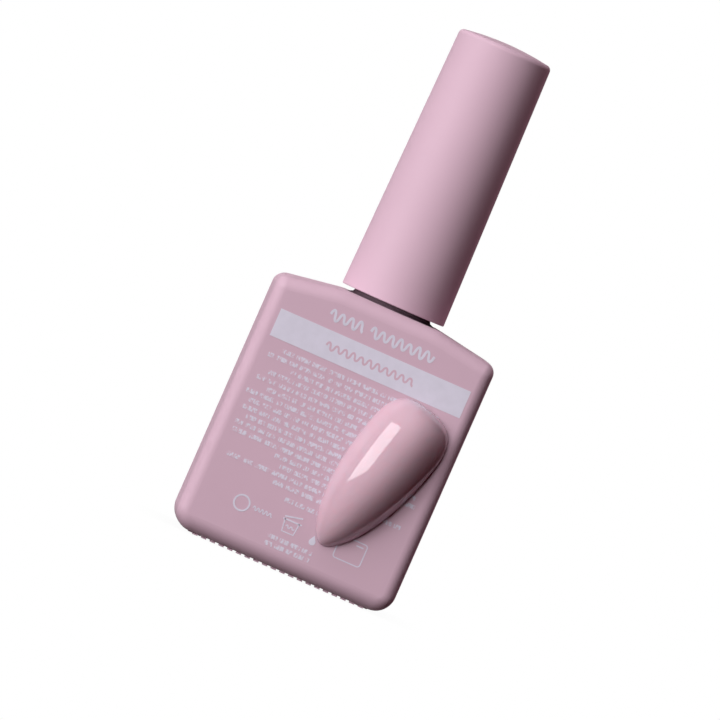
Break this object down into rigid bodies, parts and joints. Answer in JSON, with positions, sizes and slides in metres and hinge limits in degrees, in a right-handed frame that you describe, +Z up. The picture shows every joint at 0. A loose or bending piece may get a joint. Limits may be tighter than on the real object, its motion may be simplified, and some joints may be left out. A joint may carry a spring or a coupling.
{
  "type": "nail polish bottle",
  "caption": "Gel nail polish bottle: flat rounded glass body under a pink coat, threaded neck with wiper, tall screw cap carrying a brush, and a sample nail on the front.",
  "frame": {"origin": "middle of the base on the floor, on the axis of the neck and cap", "axes": "+Z up through the cap, -Y out of the front panel, +X to the right of the front panel"},
  "size_m": [0.035, 0.0273, 0.0835],
  "materials": {
    "black_glass": "gloss",
    "soft_touch_coat": "satin",
    "print_ink": "matte",
    "wiper_plastic": "satin",
    "gel_polish": "gloss",
    "nail_plastic": "satin",
    "cured_gel": "gloss",
    "clear_adhesive": "gloss",
    "soft_washer": "matte",
    "cap_coat": "satin",
    "black_plastic": "satin",
    "stem_plastic": "satin",
    "staple_steel": "satin",
    "nylon_bristle": "satin"
  },
  "bodies": {
    "bottle": {"glass_bottle": "black_glass", "colour_coat": "soft_touch_coat", "front_print": "print_ink", "neck_wiper": "wiper_plastic", "polish_fill": "gel_polish", "nail_tip": "nail_plastic", "nail_gel_coat": "cured_gel", "adhesive_tab": "clear_adhesive"},
    "washer": {"sealing_washer": "soft_washer"},
    "cap": {"over_cap": "cap_coat", "inner_cap": "black_plastic", "brush_stem": "stem_plastic", "tuft_anchor": "staple_steel", "bristle_tuft": "nylon_bristle"}
  },
  "joints": [
    {"name": "cap_lift", "type": "slide", "parent": "bottle", "child": "washer", "axis": [0, 0, 1], "range_m": [0, 0.06]},
    {"name": "cap_turn", "type": "hinge", "parent": "washer", "child": "cap", "pos_m": [0, 0, 0.0541], "axis": [0, 0, 1], "range_deg": [0, 540]}
  ]
}
